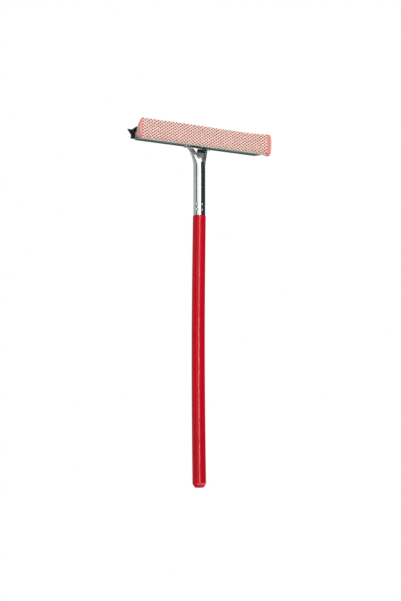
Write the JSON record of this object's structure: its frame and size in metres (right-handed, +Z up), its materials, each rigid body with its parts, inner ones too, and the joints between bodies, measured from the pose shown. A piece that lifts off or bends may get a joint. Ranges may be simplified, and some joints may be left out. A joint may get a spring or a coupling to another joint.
{
  "type": "windscreen squeegee",
  "caption": "Hand squeegee with a round painted handle, a crimped steel socket, a steel head, a rubber wiping blade and a foam sponge under a net.",
  "frame": {"origin": "middle of the handle's flat lower end face", "axes": "+Z up along the handle to the head, X along the blade, -Y towards the sponge, +Y towards the rubber blade"},
  "size_m": [0.2106, 0.0452, 0.5098],
  "materials": {
    "painted_wood": "glossy red lacquer over wood",
    "plated_steel": "bright zinc or nickel plated sheet steel",
    "black_rubber": "satin moulded rubber",
    "coral_foam": "matt open-cell foam",
    "cream_net": "matt knotted nylon net"
  },
  "bodies": {
    "root": {"handle": "painted_wood", "ferrule": "plated_steel", "rivet_left": "plated_steel", "rivet_right": "plated_steel", "blade_channel": "plated_steel", "sponge_clamp": "plated_steel", "wiper_blade": "black_rubber", "sponge": "coral_foam", "net": "cream_net"}
  },
  "joints": []
}
